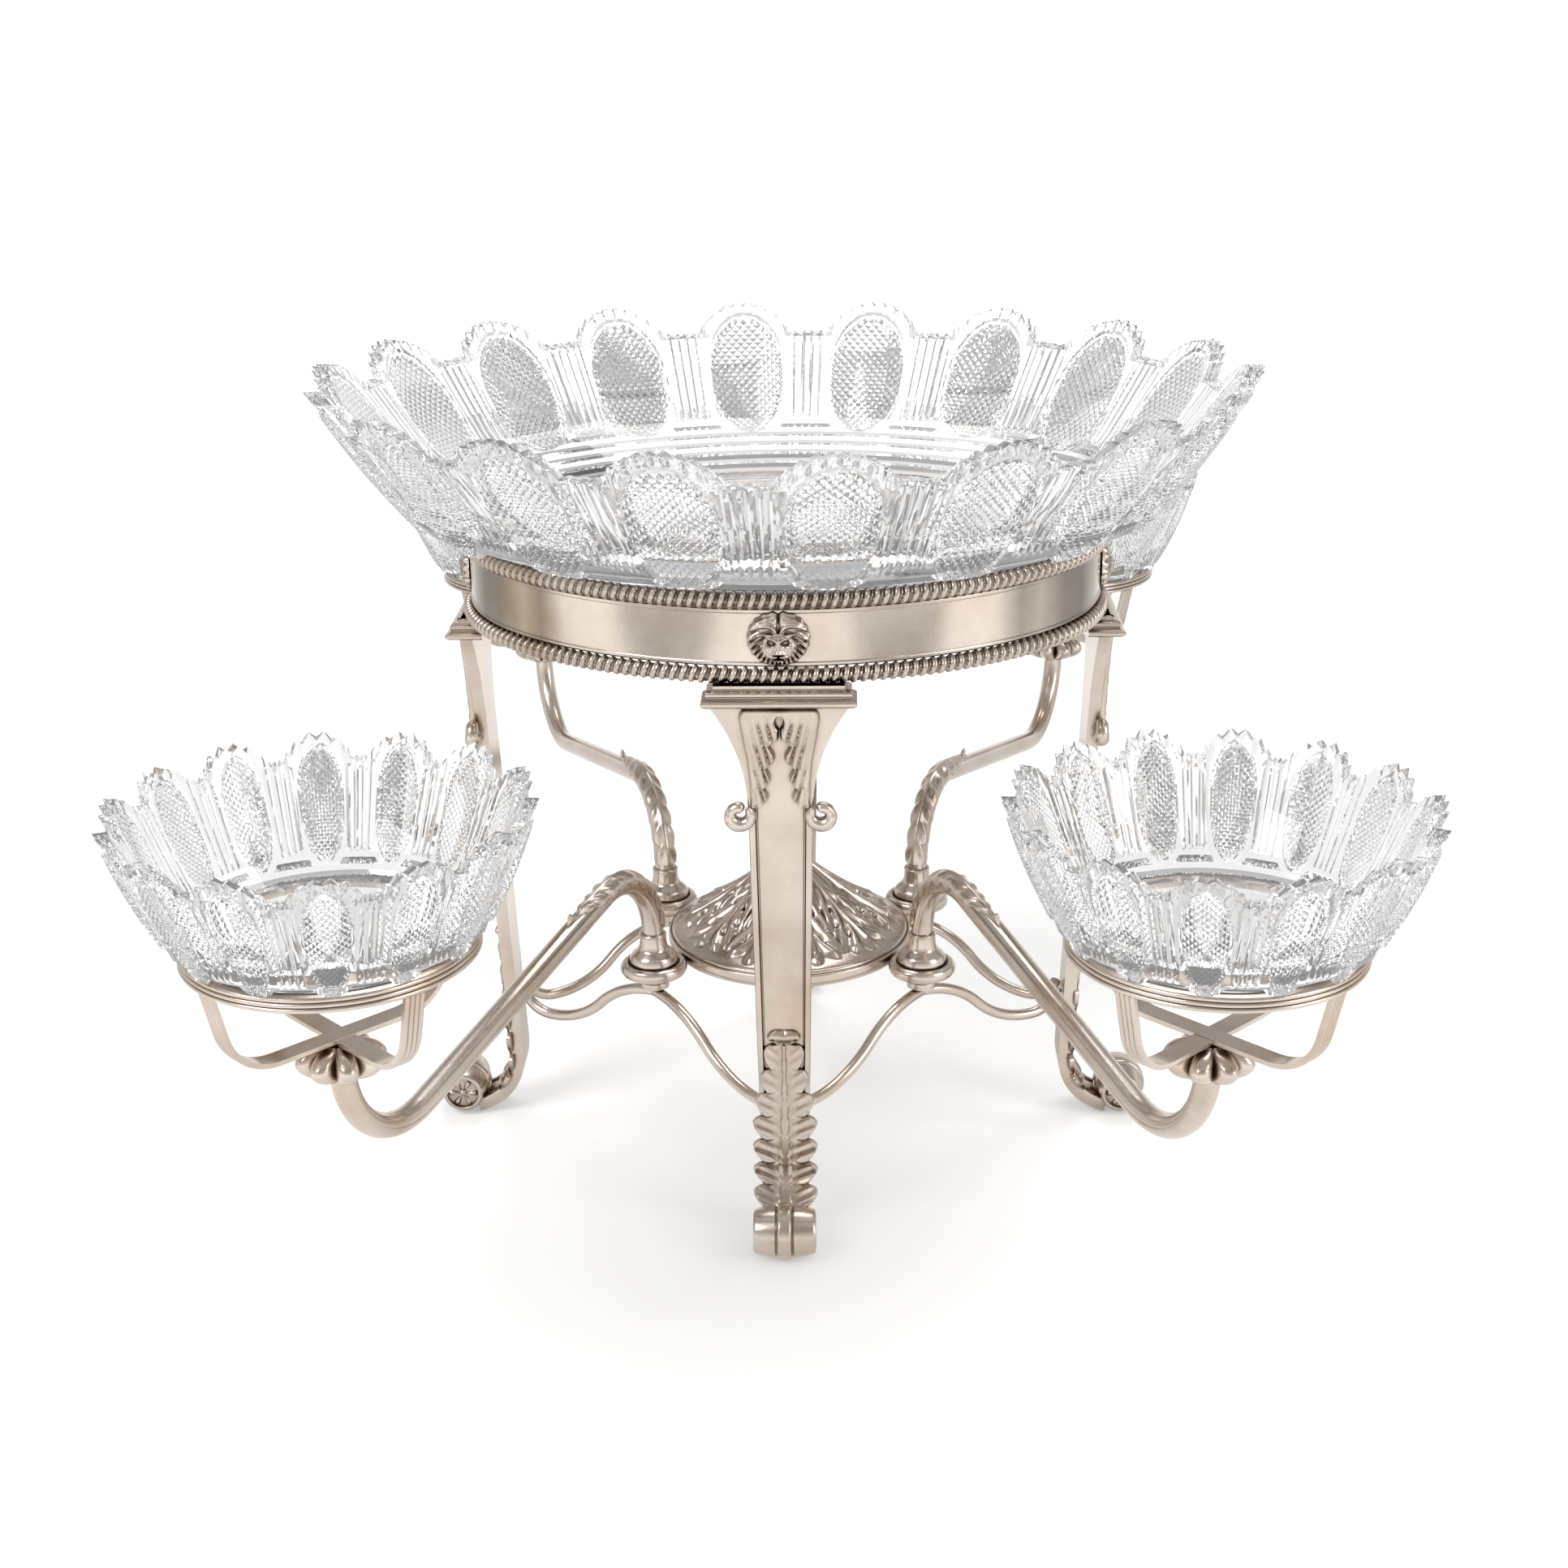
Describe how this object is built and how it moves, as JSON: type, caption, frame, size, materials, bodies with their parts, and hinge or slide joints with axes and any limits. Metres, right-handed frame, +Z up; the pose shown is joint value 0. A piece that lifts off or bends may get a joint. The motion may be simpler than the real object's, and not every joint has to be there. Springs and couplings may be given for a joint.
{
  "type": "epergne",
  "caption": "Silver table centrepiece: an oval gallery on pilaster legs holds a cut-glass bowl, with swivelling scroll arms that hold small glass bowls.",
  "frame": {"origin": "on the table under the centre of the stand", "axes": "+Z up, +X along the gallery's long axis, -Y to the front leg"},
  "size_m": [0.4042, 0.5739, 0.3114],
  "materials": {
    "silver": "polished, slightly worn",
    "chased_silver": "polished relief, dark in the recesses",
    "glass": "clear, cut"
  },
  "bodies": {
    "stand": {"gallery_band": "silver", "upper_gadroon": "silver", "lower_gadroon": "silver", "lion_mask_front": "chased_silver", "lion_mask_right": "chased_silver", "lion_mask_back": "chased_silver", "lion_mask_left": "chased_silver", "leg_front": "silver", "leg_right": "silver", "leg_back": "silver", "leg_left": "silver", "capitals": "silver", "upper_leaves": "silver", "lower_leaves": "chased_silver", "foot_scrolls": "silver", "foot_rosettes": "chased_silver", "stretcher_front_left": "silver", "stretcher_front_right": "silver", "stretcher_back_left": "silver", "stretcher_back_right": "silver", "socket_front_left": "silver", "socket_front_right": "silver", "socket_back_left": "silver", "socket_back_right": "silver", "centre_plate": "silver", "acanthus_dome": "chased_silver", "dome_nut": "chased_silver"},
    "main_bowl": {"main_bowl": "glass"},
    "swivel_arm_front_left": {"plug_front_left": "silver", "arm_front_left": "silver", "arm_leaf_front_left": "chased_silver", "calyx_front_left": "silver", "cradle_straps_front_left": "silver", "cradle_ring_front_left": "silver"},
    "swivel_arm_front_right": {"plug_front_right": "silver", "arm_front_right": "silver", "arm_leaf_front_right": "chased_silver", "calyx_front_right": "silver", "cradle_straps_front_right": "silver", "cradle_ring_front_right": "silver"},
    "swivel_arm_back_left": {"plug_back_left": "silver", "arm_back_left": "silver", "arm_leaf_back_left": "chased_silver", "calyx_back_left": "silver", "cradle_straps_back_left": "silver", "cradle_ring_back_left": "silver"},
    "swivel_arm_back_right": {"plug_back_right": "silver", "arm_back_right": "silver", "arm_leaf_back_right": "chased_silver", "calyx_back_right": "silver", "cradle_straps_back_right": "silver", "cradle_ring_back_right": "silver"},
    "small_bowl_front_left": {"small_bowl_front_left": "glass"},
    "small_bowl_front_right": {"small_bowl_front_right": "glass"},
    "small_bowl_back_left": {"small_bowl_back_left": "glass"},
    "small_bowl_back_right": {"small_bowl_back_right": "glass"}
  },
  "joints": [
    {"name": "main_bowl_lift", "type": "slide", "parent": "stand", "child": "main_bowl", "axis": [0, 0, 1], "range_m": [0, 0.12]},
    {"name": "arm_swivel_front_left", "type": "hinge", "parent": "stand", "child": "swivel_arm_front_left", "pos_m": [-0.05307, -0.03394, 0], "axis": [0, 0, 1], "range_deg": [-40, 8]},
    {"name": "arm_swivel_front_right", "type": "hinge", "parent": "stand", "child": "swivel_arm_front_right", "pos_m": [0.05307, -0.03394, 0], "axis": [0, 0, -1], "range_deg": [-40, 8]},
    {"name": "arm_swivel_back_left", "type": "hinge", "parent": "stand", "child": "swivel_arm_back_left", "pos_m": [-0.05307, 0.03394, 0], "axis": [0, 0, -1], "range_deg": [-40, 8]},
    {"name": "arm_swivel_back_right", "type": "hinge", "parent": "stand", "child": "swivel_arm_back_right", "pos_m": [0.05307, 0.03394, 0], "axis": [0, 0, 1], "range_deg": [-40, 8]},
    {"name": "small_bowl_lift_front_left", "type": "slide", "parent": "swivel_arm_front_left", "child": "small_bowl_front_left", "axis": [0, 0, 1], "range_m": [0, 0.09]},
    {"name": "small_bowl_lift_front_right", "type": "slide", "parent": "swivel_arm_front_right", "child": "small_bowl_front_right", "axis": [0, 0, 1], "range_m": [0, 0.09]},
    {"name": "small_bowl_lift_back_left", "type": "slide", "parent": "swivel_arm_back_left", "child": "small_bowl_back_left", "axis": [0, 0, 1], "range_m": [0, 0.09]},
    {"name": "small_bowl_lift_back_right", "type": "slide", "parent": "swivel_arm_back_right", "child": "small_bowl_back_right", "axis": [0, 0, 1], "range_m": [0, 0.09]}
  ]
}
